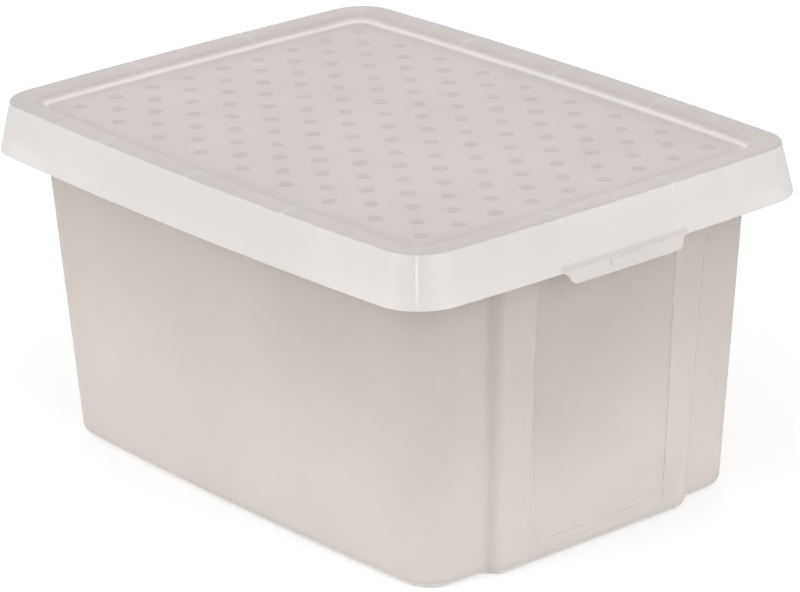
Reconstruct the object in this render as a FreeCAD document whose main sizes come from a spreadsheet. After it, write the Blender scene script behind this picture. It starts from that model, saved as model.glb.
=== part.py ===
import FreeCAD, Part
import math
import os
from functools import partial

import Sketcher

# Storage box with a lift-off lid. Millimetres, +Z up, origin under the middle of the foot.
# X runs along the length, Y across the width. Two mouldings: the tub, and the lid that sits on its rim.

# Driving sizes: name, value and what it measures.
SIZES = [
    ("tub_length", 378.4, "tub at rim height, between the middles of its end walls"),
    ("tub_width", 281.0, "tub at rim height, across the middle of its long walls"),
    ("tub_height", 211.0, "from the floor to the top of the rim"),
    ("wall", 2.2, "tub wall, floor and rim thickness"),
    ("side_taper", 14.5, "how far each wall leans in from rim to foot"),
    ("side_arc", 3500.0, "radius of the slight outward bow of the sides"),
    ("rim_corner", 31.0, "tub corner radius at rim height"),
    ("foot_corner", 20.0, "tub corner radius at the foot"),
    ("foot_radius", 6.0, "rounding round the foot"),
    ("panel_depth", 8.0, "how far each end panel stands out from the middle of the end wall"),
    ("panel_width_rim", 161.0, "end panel width at rim height"),
    ("panel_width_foot", 147.5, "end panel width at the foot"),
    ("panel_run", 4.5, "how far each side of the panel spreads from its face to the end wall"),
    ("panel_edge", 8.0, "rounding of the panel's upright edges"),
    ("panel_root", 4.0, "rounding where the panel leaves the end wall"),
    ("window_width", 109.0, "polished window in each end panel"),
    ("window_foot", 14.0, "height of the window's lower edge"),
    ("window_depth", 0.5, "how far the window is set in"),
    ("rim_side_width", 12.0, "rim, from the long wall outwards"),
    ("rim_end_width", 12.8, "rim, from the end wall outwards"),
    ("rim_outer_corner", 24.0, "corner radius of the rim's outer edge"),
    ("rim_drop", 14.0, "height of the rim's turned-down lip"),
    ("lid_clearance", 0.8, "gap all round between the rim and the lid's skirt"),
    ("lid_wall", 2.0, "lid thickness"),
    ("lid_height", 31.0, "lid, from the skirt's lower edge to the top of the border"),
    ("skirt_flare", 7.2, "how far the skirt leans out over its height"),
    ("shoulder_radius", 1.5, "rounding from the skirt into the border"),
    ("border_width", 15.0, "raised border, from the skirt to the top of the inner slope"),
    ("slope_width", 5.8, "inner slope, from the border down to the panel"),
    ("recess_depth", 5.2, "from the border down to the panel"),
    ("recess_corner", 8.0, "corner radius of the recessed panel"),
    ("border_round", 12.0, "rounding from the border into the inner slope"),
    ("recess_round", 7.0, "rounding from the inner slope into the panel"),
    ("rib_height", 6.2, "ribs under the border, from its underside down to the tub's rim"),
    ("rib_thickness", 1.2, "ribs under the border"),
    ("rib_pitch", 87.0, "distance between ribs along a side"),
    ("tongue_root", 98.0, "finger tongue in the middle of each end of the lid, where it leaves the skirt"),
    ("tongue_tip", 78.0, "straight edge of the finger tongue"),
    ("tongue_drop", 7.5, "how far the tongue hangs below the skirt"),
    ("tongue_curl", 3.0, "how far the tongue's tip turns out"),
    ("bar_width", 25.0, "raised bar on the tongue"),
    ("bar_height", 3.4, "raised bar on the tongue"),
    ("bar_depth", 0.8, "how far the bar stands out"),
    ("dot_pitch_long", 40.4, "distance between dots of a row along the lid"),
    ("dot_pitch_wide", 27.9, "distance between dots of a row across the lid"),
    ("dot_diameter", 10.4, "raised dots on the panel, at their foot"),
    ("dot_height", 1.0, "raised dots on the panel"),
    ("overlap", 0.4, "how far joined forms reach into each other"),
]

doc = FreeCAD.newDocument("StorageBox")


class Formula:
    """A length worked out from the sheet: its number now, and the text that binds it to the cells."""

    def __init__(self, value, text):
        self.value = value
        self.text = text

    def combine(self, sign, other, result):
        text = other.text if isinstance(other, Formula) else repr(other)
        return Formula(result, f"({self.text} {sign} {text})")

    def __add__(self, other):
        return self.combine("+", other, self.value + number(other))

    def __sub__(self, other):
        return self.combine("-", other, self.value - number(other))

    def __mul__(self, other):
        return self.combine("*", other, self.value * number(other))

    def __truediv__(self, other):
        return self.combine("/", other, self.value / number(other))


def number(length):
    return length.value if isinstance(length, Formula) else float(length)


def make_sheet():
    """Write the driving sizes into the sheet and return one formula for each of them."""
    sheet = doc.addObject("Spreadsheet::Sheet", "Sizes")
    formulas = {}
    for row, (name, value, note) in enumerate(SIZES, start=1):
        sheet.set(f"A{row}", name)
        sheet.set(f"B{row}", str(value))
        sheet.set(f"C{row}", note)
        sheet.setAlias(f"B{row}", name)
        formulas[name] = Formula(value, f"Sizes.{name}")
    doc.recompute()
    return formulas


size = make_sheet()
zero = Formula(0.0, "0")

# Heights
rim_height = size["tub_height"]
border_height = rim_height + size["rib_height"] + size["lid_wall"]
lip_height = border_height - size["lid_height"]
panel_height = border_height - size["recess_depth"]

# Sketch names for the origin, the two axes and the points of a piece
ORIGIN = (-1, 1)
X_AXIS, Y_AXIS = -1, -2
START, END, CENTRE = 1, 2, 3

# Rows of the outer grid of dots, each way. The grid between them has one row fewer.
DOT_ROWS = 9


# Sketches
def new_sketch(body, name, base, rotation):
    """A sketch of the body, moved to base and turned from the floor plane."""
    sketch = body.newObject("Sketcher::SketchObject", name)
    floor = next(item for item in body.Origin.OriginFeatures if item.Role == "XY_Plane")
    sketch.AttachmentSupport = [(floor, "")]
    sketch.MapMode = "FlatFace"
    sketch.AttachmentOffset = FreeCAD.Placement(FreeCAD.Vector(*[part.value for part in base]), rotation)
    for axis, part in zip("xyz", base):
        sketch.setExpression(f".AttachmentOffset.Base.{axis}", part.text)
    return sketch


def flat_sketch(body, name, height):
    return new_sketch(body, name, (zero, zero, height), FreeCAD.Rotation())


def upright_sketch(body, name, base_x, base_y, turn):
    """An upright sketch through a point of the floor, whose first axis points out at the angle turn."""
    about_z = FreeCAD.Rotation(FreeCAD.Vector(0, 0, 1), turn)
    stand_up = FreeCAD.Rotation(FreeCAD.Vector(1, 0, 0), 90)
    return new_sketch(body, name, (base_x, base_y, zero), about_z * stand_up)


def bind(sketch, kind, places, length):
    """Add a dimension to the sketch and tie it to the sheet."""
    index = sketch.addConstraint(Sketcher.Constraint(kind, *places, length.value))
    sketch.setExpression(f"Constraints[{index}]", length.text)


def bind_point(sketch, place, point):
    """Tie a point of the sketch to its distances from the two axes."""
    for kind, axis, length in zip(("DistanceX", "DistanceY"), (Y_AXIS, X_AXIS), point):
        if length.value > 0:
            bind(sketch, kind, (*ORIGIN, *place), length)
        elif length.value < 0:
            bind(sketch, kind, (*place, *ORIGIN), zero - length)
        else:
            sketch.addConstraint(Sketcher.Constraint("PointOnObject", *place, axis))


def line(from_x, from_y, to_x, to_y):
    return Part.LineSegment(FreeCAD.Vector(from_x, from_y, 0), FreeCAD.Vector(to_x, to_y, 0))


def circle(x, y, radius):
    return Part.Circle(FreeCAD.Vector(x, y, 0), FreeCAD.Vector(0, 0, 1), radius)


def arc(x, y, radius, first, last):
    """An arc about a centre, from the first to the last angle in radians, turning left."""
    return Part.ArcOfCircle(circle(x, y, radius), first, last)


def polygon(sketch, points):
    """A closed outline of straight lines with every corner tied to the sheet."""
    corners = [(x.value, y.value) for x, y in points]
    count = len(points)
    sketch.addGeometry([line(*corners[i], *corners[(i + 1) % count]) for i in range(count)])
    for index, point in enumerate(points):
        sketch.addConstraint(Sketcher.Constraint("Coincident", index, END, (index + 1) % count, START))
        bind_point(sketch, (index, START), point)


def tab(sketch, root_half, tip_half, rise, drop):
    """A tab whose sides run in an S from its root, just above the first axis, down to its straight tip."""
    root, tip, top, bottom = root_half.value, tip_half.value, rise.value, -drop.value
    shoulder = top / 2
    run, fall = root - tip, shoulder - bottom
    radius = (run ** 2 + fall ** 2) / (4 * fall)
    turn = math.asin(run / (2 * radius))
    up, down = math.pi / 2, -math.pi / 2
    sketch.addGeometry([
        line(root, top, -root, top),
        line(-root, top, -root, shoulder),
        arc(-root, shoulder - radius, radius, up - turn, up),
        arc(-tip, bottom + radius, radius, down - turn, down),
        line(-tip, bottom, tip, bottom),
        arc(tip, bottom + radius, radius, down, down + turn),
        arc(root, shoulder - radius, radius, up, up + turn),
        line(root, shoulder, root, top)])
    for kind, *places in (
            ("Coincident", 0, END, 1, START), ("Coincident", 1, END, 2, END),
            ("Tangent", 2, START, 3, START), ("Tangent", 3, END, 4, START),
            ("Tangent", 4, END, 5, START), ("Tangent", 5, END, 6, END),
            ("Coincident", 6, START, 7, START), ("Coincident", 7, END, 0, START),
            ("Vertical", 1, START, 1, END), ("Vertical", 1, END, 2, CENTRE),
            ("Vertical", 7, START, 7, END), ("Vertical", 7, START, 6, CENTRE),
            ("Equal", 2, 3), ("Equal", 5, 6)):
        sketch.addConstraint(Sketcher.Constraint(kind, *places))
    bind_point(sketch, (0, START), (root_half, rise))
    bind_point(sketch, (0, END), (zero - root_half, rise))
    bind_point(sketch, (4, START), (zero - tip_half, zero - drop))
    bind_point(sketch, (4, END), (tip_half, zero - drop))
    for side, place in ((1, END), (7, START)):
        bind(sketch, "DistanceY", (*ORIGIN, side, place), rise / 2)


def dome(sketch, foot, top, radius):
    """One half of a domed form, from the second axis out to its round side."""
    middle = top - radius
    rise = math.asin((foot - middle).value / radius.value)
    reach = radius.value * math.cos(rise)
    sketch.addGeometry([
        arc(0, middle.value, radius.value, rise, math.pi / 2),
        line(0, top.value, 0, foot.value),
        line(0, foot.value, reach, foot.value)])
    for kind, *places in (
            ("Coincident", 0, END, 1, START), ("Coincident", 1, END, 2, START),
            ("Coincident", 2, END, 0, START), ("Horizontal", 2)):
        sketch.addConstraint(Sketcher.Constraint(kind, *places))
    bind_point(sketch, (0, CENTRE), (zero, middle))
    bind_point(sketch, (1, START), (zero, top))
    bind_point(sketch, (1, END), (zero, foot))


def soft_rectangle(sketch, half_length, half_width, corner):
    """A rectangle with round corners whose sides bow out a little, drawn as eight arcs that join smoothly."""
    bow = size["side_arc"]
    behind_end, behind_side = bow - half_length, bow - half_width
    far_x, far_y = behind_end.value, behind_side.value
    # The centre of a corner is equally far from the centres of the two sides that it joins.
    gap = math.hypot(far_x, far_y)
    rise = math.sqrt((bow.value - corner.value) ** 2 - (gap / 2) ** 2) / gap
    corner_x = rise * far_y - far_x / 2
    corner_y = rise * far_x - far_y / 2
    end_turn = math.atan2(corner_y, corner_x + far_x)
    side_turn = math.atan2(corner_y + far_y, corner_x)
    half_turn = math.pi
    turns = [end_turn, side_turn, half_turn - side_turn, half_turn - end_turn]
    turns += [turn + half_turn for turn in turns]
    ends = list(zip([-end_turn] + turns[:-1], turns))
    centres = [(-far_x, 0), (corner_x, corner_y), (0, -far_y), (-corner_x, corner_y)]
    centres += [(-x, -y) for x, y in centres]
    radii = [bow, corner] * 4
    sketch.addGeometry([
        arc(x, y, radius.value, first, last) for (x, y), radius, (first, last) in zip(centres, radii, ends)])
    count = len(radii)
    for index, radius in enumerate(radii):
        sketch.addConstraint(Sketcher.Constraint("Tangent", index, END, (index + 1) % count, START))
        bind(sketch, "Radius", (index,), radius)
    for end, point in ((0, (zero - behind_end, zero)), (4, (behind_end, zero))):
        bind_point(sketch, (end, CENTRE), point)
    for side, point in ((2, (zero, zero - behind_side)), (6, (zero, behind_side))):
        bind_point(sketch, (side, CENTRE), point)


# Features
def new_body(label):
    body = doc.addObject("PartDesign::Body", label)
    body.Label = label
    return body


def loft(body, kind, name, low, high):
    """A straight-sided loft between two outlines, each given as its height and the function that draws it."""
    sketches = []
    for place, (height, draw) in (("low", low), ("high", high)):
        sketch = flat_sketch(body, f"{name}_{place}", height)
        draw(sketch, height)
        sketches.append(sketch)
    feature = body.newObject(f"PartDesign::{kind}Loft", name)
    feature.Profile = sketches[0]
    feature.Sections = [sketches[1]]
    feature.Ruled = True
    doc.recompute()
    return feature


def pad(body, name, sketch, length, way):
    """A pad that stands out of its sketch forwards, backwards or equally both ways."""
    feature = body.newObject("PartDesign::Pad", name)
    feature.Profile = sketch
    feature.SideType = "Symmetric" if way == "Both" else "One side"
    feature.Reversed = way == "Inwards"
    feature.setExpression("Length", length.text)
    doc.recompute()
    return feature


def round_edges(body, name, radius, chosen):
    """Round the edges of the body for which chosen is true."""
    base = body.Tip
    names = [f"Edge{index}" for index, edge in enumerate(base.Shape.Edges, start=1) if chosen(edge)]
    feature = body.newObject("PartDesign::Fillet", name)
    feature.Base = (base, names)
    feature.setExpression("Radius", radius.text)
    doc.recompute()
    return feature


def lies_at(edge, height):
    reach = size["overlap"].value / 10
    box = edge.BoundBox
    return abs(box.ZMin - height.value) < reach and abs(box.ZMax - height.value) < reach


# Tub
ENDS = (("right", 1), ("left", -1))


def along_wall(at_foot, at_rim, height):
    """A size that changes evenly from the foot to the rim."""
    return at_foot + (at_rim - at_foot) * height / size["tub_height"]


def end_wall(height):
    at_rim = size["tub_length"] / 2
    return along_wall(at_rim - size["side_taper"], at_rim, height)


def long_wall(height):
    at_rim = size["tub_width"] / 2
    return along_wall(at_rim - size["side_taper"], at_rim, height)


def tub_corner(height):
    return along_wall(size["foot_corner"], size["rim_corner"], height)


def panel_face(height):
    return end_wall(height) + size["panel_depth"]


def panel_half(height):
    return along_wall(size["panel_width_foot"], size["panel_width_rim"], height) / 2


def walls(inset):
    """The tub's four walls, moved in by inset."""
    def draw(sketch, height):
        reach = (end_wall(height), long_wall(height), tub_corner(height))
        soft_rectangle(sketch, *[length - inset for length in reach])
    return draw


def end_panel(sign, inset):
    """The panel of one end, moved in by inset, from its face to a little way inside the end wall."""
    def draw(sketch, height):
        face = panel_face(height) - inset
        back = end_wall(height) - size["wall"] - inset
        half = panel_half(height) - inset
        spread = size["panel_run"] / size["panel_depth"]
        half_face = half + spread * inset
        half_back = half_face + spread * (face - back)
        polygon(sketch, [
            (face * sign, zero - half_face), (face * sign, half_face),
            (back * sign, half_back), (back * sign, zero - half_back)])
    return draw


def window(sign):
    """The shallow window in the face of one end panel."""
    def draw(sketch, height):
        inner = panel_face(height) - size["window_depth"]
        outer = panel_face(height) + size["window_depth"]
        half = size["window_width"] / 2
        polygon(sketch, [
            (inner * sign, zero - half), (outer * sign, zero - half),
            (outer * sign, half), (inner * sign, half)])
    return draw


def rim_flare(height):
    """How far the rim's lip and the lid's skirt lean out at a height, counted from the top of the rim."""
    return size["skirt_flare"] * (rim_height - height) / size["lid_height"]


def rim_end(height):
    return size["tub_length"] / 2 + size["rim_end_width"] + rim_flare(height)


def rim_side(height):
    return size["tub_width"] / 2 + size["rim_side_width"] + rim_flare(height)


def rim_edge(inset):
    """The outside of the tub's rim, moved in by inset."""
    def draw(sketch, height):
        corner = size["rim_outer_corner"] + rim_flare(height) - inset
        soft_rectangle(sketch, rim_end(height) - inset, rim_side(height) - inset, corner)
    return draw


def build_tub():
    body = new_body("tub")
    wall = size["wall"]
    above_rim = rim_height + size["overlap"]
    lip = rim_height - size["rim_drop"]
    below_lip = lip - size["overlap"]
    loft(body, "Additive", "rim", (lip, rim_edge(zero)), (rim_height, rim_edge(zero)))
    loft(body, "Subtractive", "rim_hollow", (below_lip, rim_edge(wall)), (rim_height - wall, rim_edge(wall)))
    loft(body, "Additive", "walls", (zero, walls(zero)), (rim_height, walls(zero)))
    for end, sign in ENDS:
        panel = end_panel(sign, zero)
        loft(body, "Additive", f"{end}_panel", (zero, panel), (rim_height, panel))

    middle = rim_height / 2

    def is_upright_at(edge, half):
        tall = edge.BoundBox.ZLength > middle.value
        return tall and abs(abs(edge.CenterOfMass.y) - half.value) < size["wall"].value

    def is_panel_root(edge):
        at_wall = abs(edge.CenterOfMass.x) < end_wall(middle).value
        return at_wall and is_upright_at(edge, panel_half(middle) + size["panel_run"])

    def is_panel_edge(edge):
        at_face = abs(edge.CenterOfMass.x) > panel_face(middle).value - size["wall"].value
        return at_face and is_upright_at(edge, panel_half(middle))

    round_edges(body, "panel_roots", size["panel_root"], is_panel_root)
    round_edges(body, "panel_edges", size["panel_edge"], is_panel_edge)
    round_edges(body, "foot", size["foot_radius"], lambda edge: lies_at(edge, zero))

    # The inside follows the outside one wall in, with a slanted corner between the walls and the floor.
    slant = size["foot_radius"] / 2
    floor_edge = wall + slant
    forms = [("inside", walls)]
    forms += [(f"{end}_panel_inside", partial(end_panel, sign)) for end, sign in ENDS]
    for name, form in forms:
        loft(body, "Subtractive", name, (floor_edge, form(wall)), (above_rim, form(wall)))
        loft(body, "Subtractive", f"{name}_floor", (wall, form(floor_edge)), (floor_edge, form(wall)))
    for end, sign in ENDS:
        loft(body, "Subtractive", f"{end}_window", (size["window_foot"], window(sign)), (lip, window(sign)))
    return body


# Lid
def skirt_end(height):
    return rim_end(height) + size["lid_clearance"] + size["lid_wall"]


def skirt_side(height):
    return rim_side(height) + size["lid_clearance"] + size["lid_wall"]


def skirt_corner(height):
    return size["rim_outer_corner"] + rim_flare(height) + size["lid_clearance"] + size["lid_wall"]


def skirt(inset):
    """The outside of the lid's skirt, moved in by inset."""
    def draw(sketch, height):
        reach = (skirt_end(height), skirt_side(height), skirt_corner(height))
        soft_rectangle(sketch, *[length - inset for length in reach])
    return draw


def recess(spread):
    """The recessed panel's outline, widened by spread."""
    def draw(sketch, height):
        inset = size["border_width"] + size["slope_width"] - spread
        corner = size["recess_corner"] + spread
        soft_rectangle(sketch, skirt_end(border_height) - inset, skirt_side(border_height) - inset, corner)
    return draw


def add_rib(body, name, base, turn, skirt_reach, slope_top):
    """A thin upright rib under the border.

    It reaches from the middle of the inner slope to the skirt and stands on the tub's rim. skirt_reach gives
    the skirt's distance from the rib's base at a height, and slope_top is where the inner slope begins.
    """
    wall, reach = size["lid_wall"], size["overlap"]
    underside = border_height - wall + reach
    inner_end = slope_top - size["slope_width"] / 2
    sketch = upright_sketch(body, f"{name}_outline", *base, turn)
    polygon(sketch, [
        (inner_end, rim_height),
        (skirt_reach(rim_height) - wall + reach, rim_height),
        (skirt_reach(underside) - wall + reach, underside),
        (slope_top, underside),
        (inner_end, underside - size["recess_depth"] / 2)])
    pad(body, name, sketch, size["rib_thickness"], "Both")


def bowed(reach, offset):
    """The distance of a bowed side at each height, at an offset from the side's middle."""
    def distance(height):
        return reach(height) - offset * offset / (size["side_arc"] * 2)
    return distance


def add_ribs(body):
    border = size["border_width"]
    pitch = size["rib_pitch"]
    along = (("left", zero - pitch), ("middle", zero), ("right", pitch))
    across = (("front", zero - pitch / 2), ("back", pitch / 2))
    for facing, turn in (("back", 90), ("front", -90)):
        for place, offset in along:
            reach = bowed(skirt_side, offset)
            add_rib(body, f"rib_{facing}_{place}", (offset, zero), turn, reach, reach(border_height) - border)
    for facing, turn in (("right", 0), ("left", 180)):
        for place, offset in across:
            reach = bowed(skirt_end, offset)
            add_rib(body, f"rib_{facing}_{place}", (zero, offset), turn, reach, reach(border_height) - border)
    # A corner rib stands on the diagonal through the centre of the skirt's corner.
    corner = skirt_corner(rim_height)
    centre_x = bowed(skirt_end, skirt_side(rim_height) - corner)(rim_height) - corner
    centre_y = bowed(skirt_side, skirt_end(rim_height) - corner)(rim_height) - corner
    recess_top = size["recess_corner"] + size["slope_width"]
    between_centres = (border + recess_top - skirt_corner(border_height)) * math.sqrt(2)
    slope_top = recess_top - between_centres
    for index, (sign_x, sign_y) in enumerate(((1, 1), (-1, 1), (-1, -1), (1, -1))):
        base = (centre_x * sign_x, centre_y * sign_y)
        add_rib(body, f"rib_corner_{index + 1}", base, 45 + 90 * index, skirt_corner, slope_top)


def add_tongue(body, end, sign):
    """The finger tongue under the middle of one end of the skirt, with its short raised bar."""
    lean = math.degrees(math.atan2(size["tongue_curl"].value, size["tongue_drop"].value))
    about_z = FreeCAD.Rotation(FreeCAD.Vector(0, 0, 1), 0 if sign > 0 else 180)
    lean_out = FreeCAD.Rotation(FreeCAD.Vector(0, 1, 0), -lean)
    face_out = FreeCAD.Rotation(FreeCAD.Vector(1, 1, 1), 120)
    rotation = about_z * lean_out * face_out
    base = (skirt_end(lip_height) * sign, zero, lip_height)
    outline = new_sketch(body, f"{end}_tongue_outline", base, rotation)
    tab(outline, size["tongue_root"] / 2, size["tongue_tip"] / 2, size["overlap"], size["tongue_drop"])
    pad(body, f"{end}_tongue", outline, size["lid_wall"], "Inwards")
    bar = new_sketch(body, f"{end}_bar_outline", base, rotation)
    half, top = size["bar_width"] / 2, zero - size["overlap"]
    bottom = top - size["bar_height"]
    polygon(bar, [(zero - half, bottom), (half, bottom), (half, top), (zero - half, top)])
    pad(body, f"{end}_bar", bar, size["bar_depth"], "Outwards")


def add_dots(body, name, rows):
    """A grid of low domed dots with the same number of rows each way, centred on the panel."""
    along = size["dot_pitch_long"] * (rows - 1)
    across = size["dot_pitch_wide"] * (rows - 1)
    half, height = size["dot_diameter"] / 2, size["dot_height"]
    radius = (half * half / height + height) / 2
    sketch = upright_sketch(body, f"{name}_outline", zero - along / 2, zero - across / 2, 0)
    dome(sketch, panel_height - size["overlap"], panel_height + height, radius)
    dot = body.newObject("PartDesign::Revolution", f"{name}_first")
    dot.Profile = sketch
    dot.ReferenceAxis = (sketch, ["V_Axis"])
    doc.recompute()
    grid = body.newObject("PartDesign::MultiTransform", name)
    grid.Originals = [dot]
    patterns = []
    for axis, reach in (("X_Axis", along), ("Y_Axis", across)):
        pattern = body.newObject("PartDesign::LinearPattern", f"{name}_{axis}")
        direction = next(item for item in body.Origin.OriginFeatures if item.Role == axis)
        pattern.Direction = (direction, [""])
        pattern.setExpression("Length", reach.text)
        pattern.Occurrences = rows
        patterns.append(pattern)
    grid.Transformations = patterns
    body.Tip = grid
    doc.recompute()


def build_lid():
    body = new_body("lid")
    wall = size["lid_wall"]
    below_lip = lip_height - size["overlap"]
    ceiling = border_height - wall
    loft(body, "Additive", "skirt", (lip_height, skirt(zero)), (border_height, skirt(zero)))
    loft(body, "Subtractive", "inside", (below_lip, skirt(wall)), (ceiling, skirt(wall)))
    round_edges(body, "shoulder", size["shoulder_radius"], lambda edge: lies_at(edge, border_height))

    # The middle is pressed down: the recess above, and the same form one wall lower below.
    slope = size["slope_width"]
    lower = panel_height - wall
    above = size["overlap"]
    mouth = recess(slope + slope * above / size["recess_depth"])
    loft(body, "Additive", "dish", (lower, recess(zero)), (ceiling + above, mouth))
    loft(body, "Subtractive", "recess", (panel_height, recess(zero)), (border_height + above, mouth))

    # The mouth of the recess lies inside the middle line of the border, and the shoulder outside it.
    half_border = size["border_width"] / 2
    end_reach, side_reach = [(reach(border_height) - half_border).value for reach in (skirt_end, skirt_side)]
    above_border = (border_height + above).value
    middle = FreeCAD.BoundBox(-end_reach, -side_reach, 0, end_reach, side_reach, above_border)

    def is_recess_mouth(edge):
        return lies_at(edge, border_height) and middle.isInside(edge.BoundBox)

    round_edges(body, "border_edge", size["border_round"], is_recess_mouth)
    round_edges(body, "recess_edge", size["recess_round"], lambda edge: lies_at(edge, panel_height))
    for end, sign in ENDS:
        add_tongue(body, end, sign)

    # The ribs and the dots are drawn as bodies of their own and joined to the lid in one go.
    ribs = new_body("ribs")
    add_ribs(ribs)
    dots = new_body("dots")
    add_dots(dots, "outer_dots", DOT_ROWS)
    add_dots(dots, "inner_dots", DOT_ROWS - 1)
    joined = body.newObject("PartDesign::Boolean", "ribs_and_dots")
    joined.Type = "Fuse"
    joined.addObjects([ribs, dots])
    doc.recompute()
    return body


sub_parts = [build_tub(), build_lid()]

for item in doc.Objects:
    if "Invalid" in item.State or "Error" in item.State:
        raise RuntimeError(f"{item.Name} failed: {item.State}")
for sub_part in sub_parts:
    if sub_part.Shape.isNull() or not sub_part.Shape.isValid():
        raise RuntimeError(f"{sub_part.Label} has no valid shape")

os.makedirs("parts", exist_ok=True)
for sub_part in sub_parts:
    sub_part.Shape.exportStep(f"parts/{sub_part.Label}.step")
    print(sub_part.Label, "volume", round(sub_part.Shape.Volume), "solids", len(sub_part.Shape.Solids))
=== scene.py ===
import math

import bpy
from mathutils import Matrix, Vector

# Storage box with a lift-off lid, in metres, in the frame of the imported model.

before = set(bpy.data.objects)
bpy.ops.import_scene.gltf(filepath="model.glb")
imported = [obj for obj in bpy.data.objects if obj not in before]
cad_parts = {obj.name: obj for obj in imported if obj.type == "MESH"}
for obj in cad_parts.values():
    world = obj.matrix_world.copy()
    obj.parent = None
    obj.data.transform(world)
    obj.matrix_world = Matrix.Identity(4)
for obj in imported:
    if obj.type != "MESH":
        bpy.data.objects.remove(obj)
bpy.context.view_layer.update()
scene = bpy.context.scene

MM = 0.001


# Materials
class Surface:
    """A material with one Principled shader, and short ways to add nodes to it."""

    def __init__(self, name):
        self.material = bpy.data.materials.new(name)
        self.material.use_nodes = True
        self.tree = self.material.node_tree
        self.shader = self.tree.nodes["Principled BSDF"]
        place = self.tree.nodes.new("ShaderNodeTexCoord")
        self.point = place.outputs["Object"]
        self.x, self.y, self.z = self.split(self.point)
        self.facing_up = self.split(place.outputs["Normal"])[2]

    def feed(self, socket, value):
        if isinstance(value, bpy.types.NodeSocket):
            self.tree.links.new(value, socket)
        else:
            socket.default_value = value

    def set(self, name, value):
        self.feed(self.shader.inputs[name], value)

    def split(self, vector):
        node = self.tree.nodes.new("ShaderNodeSeparateXYZ")
        self.feed(node.inputs[0], vector)
        return node.outputs

    def math(self, operation, *values):
        node = self.tree.nodes.new("ShaderNodeMath")
        node.operation = operation
        for socket, value in zip(node.inputs, values):
            self.feed(socket, value)
        return node.outputs[0]

    def step(self, value, low, high):
        """Smoothly from 0 at low to 1 at high. With low above high, from 1 down to 0."""
        node = self.tree.nodes.new("ShaderNodeMapRange")
        node.interpolation_type = "SMOOTHSTEP"
        for name, number in (("Value", value), ("From Min", low), ("From Max", high)):
            self.feed(node.inputs[name], number)
        return node.outputs[0]

    def scaled(self, value, low, high):
        """A value between 0 and 1 spread over the range from low to high."""
        node = self.tree.nodes.new("ShaderNodeMapRange")
        for name, number in (("Value", value), ("To Min", low), ("To Max", high)):
            self.feed(node.inputs[name], number)
        return node.outputs[0]

    def both(self, *masks):
        result = masks[0]
        for mask in masks[1:]:
            result = self.math("MULTIPLY", result, mask)
        return result

    def either(self, *masks):
        result = masks[0]
        for mask in masks[1:]:
            result = self.math("MAXIMUM", result, mask)
        return result

    def away(self, value, centre=0.0):
        """How far a coordinate is from a place, whichever way."""
        return self.math("ABSOLUTE", self.math("SUBTRACT", value, centre))

    def noise(self, size, detail=2.0):
        """Cloudy variation whose patches are about so large."""
        node = self.tree.nodes.new("ShaderNodeTexNoise")
        self.feed(node.inputs["Vector"], self.point)
        self.feed(node.inputs["Scale"], 1 / size)
        self.feed(node.inputs["Detail"], detail)
        return node.outputs[0]

    def mix(self, amount, first, second, blend="MIX"):
        node = self.tree.nodes.new("ShaderNodeMix")
        node.data_type = "RGBA"
        node.blend_type = blend
        sockets = [socket for socket in node.inputs if socket.type == "RGBA"]
        self.feed(node.inputs["Factor"], amount)
        for socket, value in zip(sockets, (first, second)):
            self.feed(socket, value)
        return next(socket for socket in node.outputs if socket.type == "RGBA")

    def tint(self, base, mask, shade, share=1.0):
        """The base with a share of another colour where the mask is 1."""
        return self.mix(self.math("MULTIPLY", mask, share), base, shade)

    def bump(self, *layers):
        """Surface relief from layers of a height pattern and its depth."""
        normal = None
        for height, depth in layers:
            node = self.tree.nodes.new("ShaderNodeBump")
            self.feed(node.inputs["Height"], height)
            self.feed(node.inputs["Distance"], depth)
            if normal is not None:
                self.feed(node.inputs["Normal"], normal)
            normal = node.outputs[0]
        self.set("Normal", normal)


def colour(red, green, blue):
    return (red, green, blue, 1)


PLASTIC_IOR = 1.49
GRAIN = 0.6 * MM
GRAIN_DEPTH = 0.012 * MM
WAVE = 45 * MM
WAVE_DEPTH = 0.35 * MM
LARGE_CLOUD = 90 * MM
SMALL_CLOUD = 14 * MM
SHEEN_PATCH = 25 * MM


def cloudy(surface, base):
    """The slight unevenness of a milky moulding, in large soft patches and smaller ones."""
    large = surface.scaled(surface.noise(LARGE_CLOUD), 0.94, 1.06)
    small = surface.scaled(surface.noise(SMALL_CLOUD, detail=4.0), 0.985, 1.015)
    return surface.mix(1.0, base, surface.both(large, small), "MULTIPLY")


def uneven(surface, smoothest, roughest):
    """A roughness that drifts over the surface between two values."""
    return surface.scaled(surface.noise(SHEEN_PATCH), smoothest, roughest)


def finish(surface, base, roughness, seen_through):
    surface.set("Base Color", cloudy(surface, base))
    surface.set("Roughness", roughness)
    surface.set("IOR", PLASTIC_IOR)
    surface.bump((surface.noise(WAVE), WAVE_DEPTH), (surface.noise(GRAIN), GRAIN_DEPTH))
    surface.set("Transmission Weight", seen_through)


# Lid: where the forms of the CAD model lie
RIB_PITCH = 87 * MM
RIB_INNER_SIDE = 131.5 * MM
RIB_INNER_END = 181 * MM
RIB_OUTER_SIDE = 147 * MM
CORNER_RIB = (175.6 * MM, 124.0 * MM)
PANEL_HALF = (172 * MM, 122 * MM)
PANEL_TOP = 214 * MM
BORDER_TOP = 219.2 * MM
LIP = 188.2 * MM
LID_CORNER = (178 * MM, 128 * MM)
LID_CORNER_BLEND = 16 * MM
TONGUE_REACH = 203 * MM
TONGUE_HALF = 49 * MM
# How far from its middle a line has faded out, and how far it is full.
RIB_LINE = (0.9 * MM, 0.35 * MM)
CORNER_RIB_LINE = (1.4 * MM, 0.5 * MM)
# How far a face looks up, where 1 is straight up: where a mask starts and where it is full.
TOP_FACING = (0.4, 0.75)
SLOPE_FACING = (0.99, 0.90)

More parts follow.
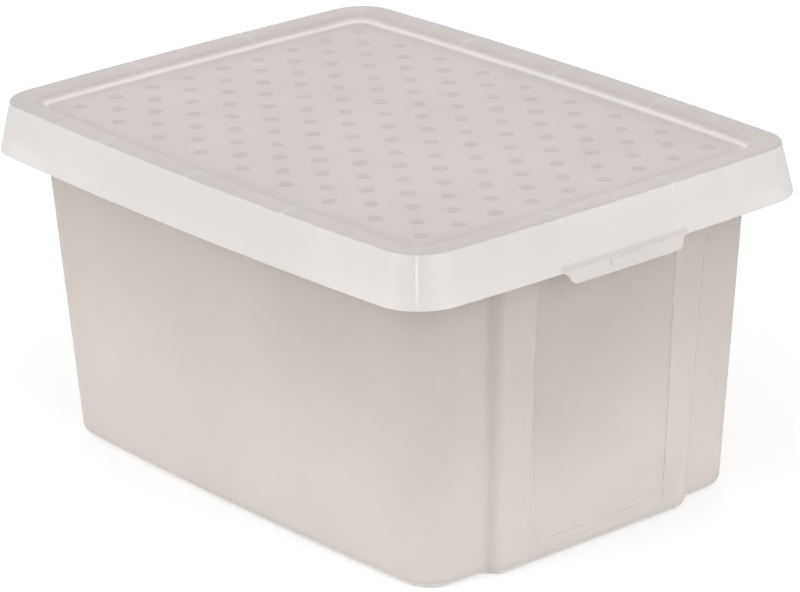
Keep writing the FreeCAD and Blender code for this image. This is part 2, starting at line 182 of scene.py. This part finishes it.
# Lid: colours, with painted light and shade among them, roughness and how much shows through
SKIRT_LIT_COLOUR = colour(0.90, 0.87, 0.85)
BORDER_SHADE_COLOUR = colour(0.885, 0.82, 0.795)
PANEL_SHADE_COLOUR = colour(0.86, 0.79, 0.765)
LID_CORNER_SHADE_COLOUR = colour(0.82, 0.78, 0.75)
TONGUE_SHADE_COLOUR = colour(0.80, 0.76, 0.73)
TONGUE_BAND_SHADE_COLOUR = colour(0.70, 0.65, 0.62)
SLOPE_FOOT_HIGHLIGHT_COLOUR = colour(0.95, 0.91, 0.88)
DOT_SHADE_COLOUR = colour(0.74, 0.67, 0.64)
RIB_LIGHT_COLOUR = colour(0.97, 0.95, 0.94)
LID_ROUGHNESS = (0.36, 0.48)
SKIRT_CLARITY = 0.3
TOP_CLARITY = 0.5
PANEL_SHARE = 0.85
RIB_SHARE = 0.4


def rib_light_lines(surface, far_x, far_y):
    """Painted light: thin pale lines where each rib under the border shows through it.

    Those at the ends go on a little down the skirt.
    """
    z = surface.z
    nearest = surface.math("WRAP", surface.x, RIB_PITCH / 2, -RIB_PITCH / 2)
    side_rib_light = surface.both(
        surface.step(surface.away(nearest), *RIB_LINE),
        surface.step(far_x, RIB_PITCH * 1.5, RIB_PITCH * 1.4),
        surface.step(far_y, RIB_INNER_SIDE - MM, RIB_INNER_SIDE + 2 * MM),
        surface.either(
            surface.step(z, BORDER_TOP - 3 * MM, BORDER_TOP - 1.5 * MM),
            surface.step(far_y, RIB_OUTER_SIDE, RIB_OUTER_SIDE - 2 * MM)))
    end_rib_light = surface.both(
        surface.step(surface.away(far_y, RIB_PITCH / 2), *RIB_LINE),
        surface.step(far_x, RIB_INNER_END - MM, RIB_INNER_END + 2 * MM),
        surface.step(z, BORDER_TOP - 7 * MM, BORDER_TOP - 4 * MM))
    past_x = surface.math("SUBTRACT", far_x, CORNER_RIB[0])
    past_y = surface.math("SUBTRACT", far_y, CORNER_RIB[1])
    corner_rib_light = surface.both(
        surface.step(surface.away(surface.math("SUBTRACT", past_x, past_y)), *CORNER_RIB_LINE),
        surface.step(surface.math("ADD", past_x, past_y), -11 * MM, -6 * MM),
        surface.step(z, LIP - 4 * MM, LIP + 14 * MM))
    return surface.either(side_rib_light, end_rib_light, surface.math("MULTIPLY", corner_rib_light, 0.6))


def lid_plastic():
    surface = Surface("lid_plastic")
    z = surface.z
    far_x, far_y = surface.away(surface.x), surface.away(surface.y)
    rib_light = rib_light_lines(surface, far_x, far_y)
    on_panel = surface.both(
        surface.step(far_x, PANEL_HALF[0], PANEL_HALF[0] - MM),
        surface.step(far_y, PANEL_HALF[1], PANEL_HALF[1] - MM))
    # Painted shade: each dot on the panel is painted darker on top, for the shading of the small domes.
    dot_shade = surface.both(on_panel, surface.step(z, PANEL_TOP + 0.02 * MM, PANEL_TOP + 0.2 * MM))
    top = surface.step(surface.facing_up, *TOP_FACING)
    # Painted highlight: the foot of the slopes that lead from the border down to the panel is painted
    # paler, for the light line along it.
    slope_foot_highlight = surface.both(
        top,
        surface.step(surface.facing_up, *SLOPE_FACING),
        surface.step(z, PANEL_TOP + 3.5 * MM, PANEL_TOP + 0.5 * MM))
    # Painted shade: the skirt is painted darker round the lid's corners, where less of the rim lies
    # behind it.
    corner_shade = surface.both(
        surface.step(far_x, LID_CORNER[0], LID_CORNER[0] + LID_CORNER_BLEND),
        surface.step(far_y, LID_CORNER[1], LID_CORNER[1] + LID_CORNER_BLEND))
    tongue = surface.both(
        surface.step(far_x, TONGUE_REACH - MM, TONGUE_REACH),
        surface.step(far_y, TONGUE_HALF + MM, TONGUE_HALF - MM),
        surface.step(z, LIP + 4.5 * MM, LIP + 3 * MM))
    # The tongue is a flat plate here. Painted shade stands in for the bend of the real one: the tongue
    # is painted darker for its outward lean and the gap behind it, with a darker band near its top.
    tongue_shade_band = surface.both(tongue, surface.step(z, LIP - 0.5 * MM, LIP + 1.5 * MM))

    # Painted light and shade: the skirt is painted paler than the upward-facing top, for the skirt
    # looking paler with the tub's rim behind it and the top darker with the hollow under it.
    base = surface.mix(top, SKIRT_LIT_COLOUR, surface.mix(on_panel, BORDER_SHADE_COLOUR, PANEL_SHADE_COLOUR))
    base = surface.tint(base, corner_shade, LID_CORNER_SHADE_COLOUR, share=0.5)
    base = surface.tint(base, tongue, TONGUE_SHADE_COLOUR, share=0.5)
    base = surface.tint(base, tongue_shade_band, TONGUE_BAND_SHADE_COLOUR, share=0.35)
    base = surface.tint(base, slope_foot_highlight, SLOPE_FOOT_HIGHLIGHT_COLOUR)
    base = surface.tint(base, dot_shade, DOT_SHADE_COLOUR)
    base = surface.tint(base, rib_light, RIB_LIGHT_COLOUR, share=0.9)
    seen_through = surface.both(
        surface.scaled(top, SKIRT_CLARITY, TOP_CLARITY),
        surface.scaled(on_panel, 1.0, PANEL_SHARE),
        surface.scaled(surface.either(slope_foot_highlight, rib_light), 1.0, RIB_SHARE))
    finish(surface, base, uneven(surface, *LID_ROUGHNESS), seen_through)
    return surface.material


# Tub: where the forms of the CAD model lie
TUB_HEIGHT = 211 * MM
WINDOW_HALF = 54.5 * MM
WINDOW_FOOT = 14 * MM
WINDOW_TOP = 197 * MM
WINDOW_REACH = 165 * MM
WINDOW_CLEAR = 110 * MM
EDGE_BLEND = 0.3 * MM
# How far from its middle a line has faded out, and how far it is full.
EDGE_LINE = (0.9 * MM, 0.4 * MM)
# Where a mask starts and where it is full.
TUB_FLOOR = (4 * MM, 2.5 * MM)
TUB_CORNER_X = (130 * MM, 185 * MM)
TUB_CORNER_Y = (85 * MM, 130 * MM)

# Tub: colours, with painted light and shade among them, roughness and how much shows through
FOOT_LIT_COLOUR = colour(0.95, 0.895, 0.85)
RIM_SHADE_COLOUR = colour(0.86, 0.80, 0.75)
TUB_CORNER_SHADE_COLOUR = colour(0.80, 0.745, 0.70)
TUB_FLOOR_LIT_COLOUR = colour(0.97, 0.93, 0.89)
WALL_ROUGHNESS = (0.42, 0.54)
WINDOW_ROUGHNESS = (0.10, 0.16)
FOOT_CLARITY = 0.42
RIM_CLARITY = 0.64
WALL_SHARE = 0.97
WINDOW_SHARE = 1.12
EDGE_SHARE = 0.87
TUB_FLOOR_SHARE = 0.4


def tub_plastic():
    surface = Surface("tub_plastic")
    z = surface.z
    far_x, far_y = surface.away(surface.x), surface.away(surface.y)
    at_end = surface.step(far_x, WINDOW_REACH, WINDOW_REACH + MM)
    # The window in each end panel stops below the lip of the rim.
    window = surface.both(
        at_end,
        surface.step(far_y, WINDOW_HALF + EDGE_BLEND, WINDOW_HALF - EDGE_BLEND),
        surface.step(z, WINDOW_FOOT - EDGE_BLEND, WINDOW_FOOT + EDGE_BLEND),
        surface.step(z, WINDOW_TOP, WINDOW_TOP - 2 * EDGE_BLEND))
    upright_edges = surface.both(
        surface.step(surface.away(far_y, WINDOW_HALF), *EDGE_LINE),
        surface.step(z, WINDOW_FOOT - MM, WINDOW_FOOT))
    lower_edge = surface.both(
        surface.step(surface.away(z, WINDOW_FOOT), *EDGE_LINE),
        surface.step(far_y, WINDOW_HALF + MM, WINDOW_HALF))
    window_edge = surface.both(at_end, surface.either(upright_edges, lower_edge))
    clear = surface.both(window, surface.step(z, WINDOW_FOOT, WINDOW_CLEAR))
    # Painted light: the tub's floor is painted paler, for the white ground lighting it through.
    floor = surface.step(z, *TUB_FLOOR)
    height = surface.step(z, 0.0, TUB_HEIGHT)
    # Painted shade: towards the upright corners the walls are painted darker.
    corner_shade = surface.both(surface.step(far_x, *TUB_CORNER_X), surface.step(far_y, *TUB_CORNER_Y))

    # Painted shade and light: the walls are painted darker towards the top, under the lid's overhang,
    # and paler towards the foot, for light from the white ground.
    base = surface.mix(height, FOOT_LIT_COLOUR, RIM_SHADE_COLOUR)
    base = surface.tint(base, corner_shade, TUB_CORNER_SHADE_COLOUR, share=0.35)
    base = surface.tint(base, floor, TUB_FLOOR_LIT_COLOUR)
    # The walls are frosted. The window is smoother, and clears from its foot upwards.
    frosted = surface.both(uneven(surface, *WALL_ROUGHNESS), surface.math("SUBTRACT", 1.0, window))
    polished = surface.both(uneven(surface, *WINDOW_ROUGHNESS), window)
    seen_through = surface.both(
        surface.scaled(height, FOOT_CLARITY, RIM_CLARITY),
        surface.scaled(clear, WALL_SHARE, WINDOW_SHARE),
        surface.scaled(window_edge, 1.0, EDGE_SHARE),
        surface.scaled(floor, 1.0, TUB_FLOOR_SHARE))
    finish(surface, base, surface.math("ADD", frosted, polished), seen_through)
    return surface.material


for node, material in (("tub", tub_plastic()), ("lid", lid_plastic())):
    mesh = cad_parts[node].data
    mesh.materials.clear()
    mesh.materials.append(material)


# Studio
WHITE = colour(1, 1, 1)
FLOOR_REACH = 6.0
FLOOR_DROP = 0.5 * MM
FLOOR_GREY = colour(0.80, 0.80, 0.80)
# Light of its own that lifts the floor towards white where it is seen.
FLOOR_LIFT = 0.35
# How strongly the white surroundings light the object, and how bright they look.
WORLD_LIGHT = 0.66
WORLD_SEEN = 1.0
LAMP_AIM = Vector((0, 0, 100 * MM))
LAMP_DISTANCE = 2.6
LAMP_WIDTH = 1.8
# The camera was fitted to the outline of lid and tub in the photograph. Angles are in degrees.
CAMERA_AZIMUTH = 50.234
CAMERA_ELEVATION = 20.676
CAMERA_ROLL = -1.308
CAMERA_PLACE = (1.84266, -1.52695, 1.00788)
CAMERA_LENS = 187.58
CAMERA_SENSOR = 36


def direction(azimuth, elevation):
    """The way out from the object, for angles in degrees. Azimuth 0 is in front, 90 to the right."""
    turn, rise = math.radians(azimuth), math.radians(elevation)
    return Vector((math.sin(turn) * math.cos(rise), -math.cos(turn) * math.cos(rise), math.sin(rise)))


def seen_directly(tree):
    """1 for rays that show the background: from the camera, a reflection or a see-through part."""
    path = tree.nodes.new("ShaderNodeLightPath")
    shown = path.outputs["Is Camera Ray"]
    for name in ("Is Glossy Ray", "Is Transmission Ray"):
        node = tree.nodes.new("ShaderNodeMath")
        node.operation = "MAXIMUM"
        tree.links.new(shown, node.inputs[0])
        tree.links.new(path.outputs[name], node.inputs[1])
        shown = node.outputs[0]
    return shown


def add_floor():
    reach = FLOOR_REACH
    mesh = bpy.data.meshes.new("floor")
    mesh.from_pydata([(-reach, -reach, 0), (reach, -reach, 0), (reach, reach, 0), (-reach, reach, 0)],
                     [], [(0, 1, 2, 3)])
    floor = bpy.data.objects.new("floor", mesh)
    scene.collection.objects.link(floor)
    floor.location.z = -FLOOR_DROP
    material = bpy.data.materials.new("floor")
    material.use_nodes = True
    tree = material.node_tree
    shader = tree.nodes["Principled BSDF"]
    shader.inputs["Base Color"].default_value = FLOOR_GREY
    shader.inputs["Roughness"].default_value = 1.0
    shader.inputs["Specular IOR Level"].default_value = 0.0
    shader.inputs["Emission Color"].default_value = WHITE
    lift = tree.nodes.new("ShaderNodeMath")
    lift.operation = "MULTIPLY"
    tree.links.new(seen_directly(tree), lift.inputs[0])
    lift.inputs[1].default_value = FLOOR_LIFT
    tree.links.new(lift.outputs[0], shader.inputs["Emission Strength"])
    mesh.materials.append(material)


def add_world():
    world = bpy.data.worlds.new("studio")
    scene.world = world
    world.use_nodes = True
    tree = world.node_tree
    background = tree.nodes["Background"]
    background.inputs["Color"].default_value = WHITE
    strength = tree.nodes.new("ShaderNodeMapRange")
    strength.inputs["To Min"].default_value = WORLD_LIGHT
    strength.inputs["To Max"].default_value = WORLD_SEEN
    tree.links.new(seen_directly(tree), strength.inputs["Value"])
    tree.links.new(strength.outputs[0], background.inputs["Strength"])


def add_lamp(name, azimuth, elevation, power):
    """A square soft box aimed at the middle of the object."""
    light = bpy.data.lights.new(name, "AREA")
    light.size = LAMP_WIDTH
    light.energy = power
    lamp = bpy.data.objects.new(name, light)
    scene.collection.objects.link(lamp)
    way = direction(azimuth, elevation)
    lamp.location = LAMP_AIM + way * LAMP_DISTANCE
    lamp.rotation_euler = way.to_track_quat("Z", "Y").to_euler()


def add_camera():
    back = direction(CAMERA_AZIMUTH, CAMERA_ELEVATION)
    right = direction(CAMERA_AZIMUTH + 90, 0)
    up = back.cross(right)
    roll = math.radians(CAMERA_ROLL)
    side = right * math.cos(roll) + up * math.sin(roll)
    head = up * math.cos(roll) - right * math.sin(roll)
    camera = bpy.data.cameras.new("camera")
    camera.sensor_width = CAMERA_SENSOR
    camera.lens = CAMERA_LENS
    item = bpy.data.objects.new("camera", camera)
    scene.collection.objects.link(item)
    item.matrix_world = Matrix((side, head, back)).transposed().to_4x4()
    item.location = CAMERA_PLACE
    scene.camera = item


add_floor()
add_world()
add_lamp("left", azimuth=-12, elevation=22, power=24)
add_lamp("right", azimuth=92, elevation=22, power=24)
add_lamp("back", azimuth=225, elevation=40, power=7)
add_camera()
scene.view_settings.view_transform = "Standard"
